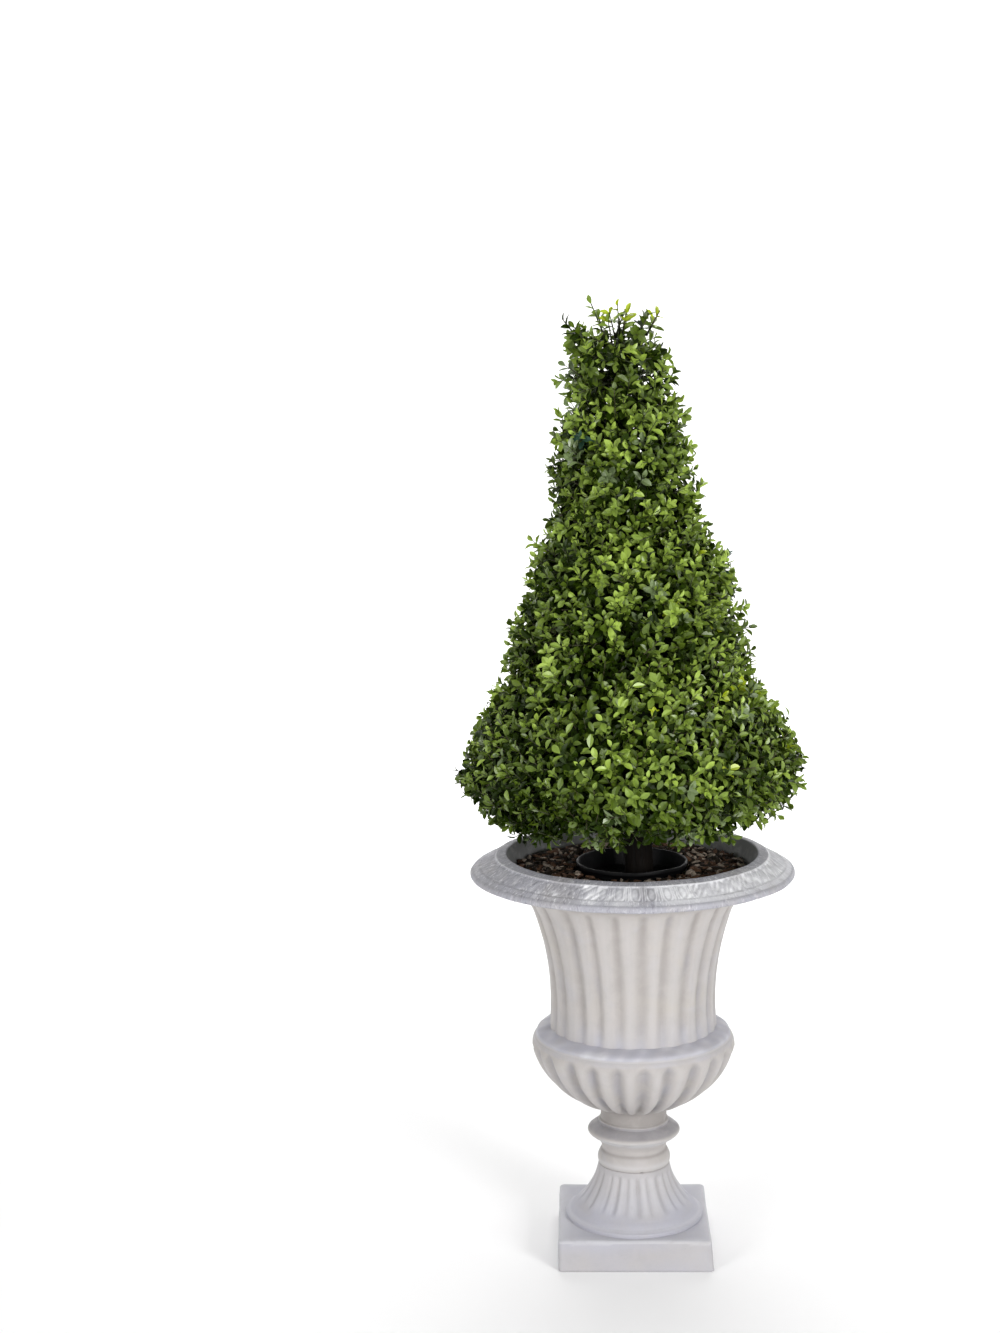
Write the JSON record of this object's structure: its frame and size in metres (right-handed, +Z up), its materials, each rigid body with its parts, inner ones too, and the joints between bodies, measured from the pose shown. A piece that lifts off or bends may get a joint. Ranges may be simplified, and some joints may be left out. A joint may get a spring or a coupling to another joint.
{
  "type": "artificial boxwood cone topiary in a pedestal urn",
  "caption": "Clipped artificial boxwood cone on a short pole, in a nursery pot bedded with bark in a fluted pedestal urn with a rolled rim.",
  "frame": {"origin": "centre of the plinth's flat underside, on the surface it stands on", "axes": "+Z up, -Y the side towards the picture's camera, +X to the right of that side"},
  "size_m": [0.4913, 0.4858, 1.3449],
  "materials": {
    "cast_stone": "matt cast surface, cooler grey on the rim, rings and plinth top",
    "gravel": "loose filler, hidden under the bark",
    "bark": "rough chippings",
    "black_plastic": "satin black",
    "ballast": "dark set cement",
    "pole": "dark rough bark",
    "leaves": "semi-gloss moulded leaves"
  },
  "bodies": {
    "root": {"urn_pedestal": "cast_stone", "urn_vessel": "cast_stone", "urn_filler": "gravel", "bark_chippings": "bark", "nursery_pot": "black_plastic", "pot_ballast": "ballast", "trunk_pole": "pole", "crown_foliage": "leaves"}
  },
  "joints": []
}
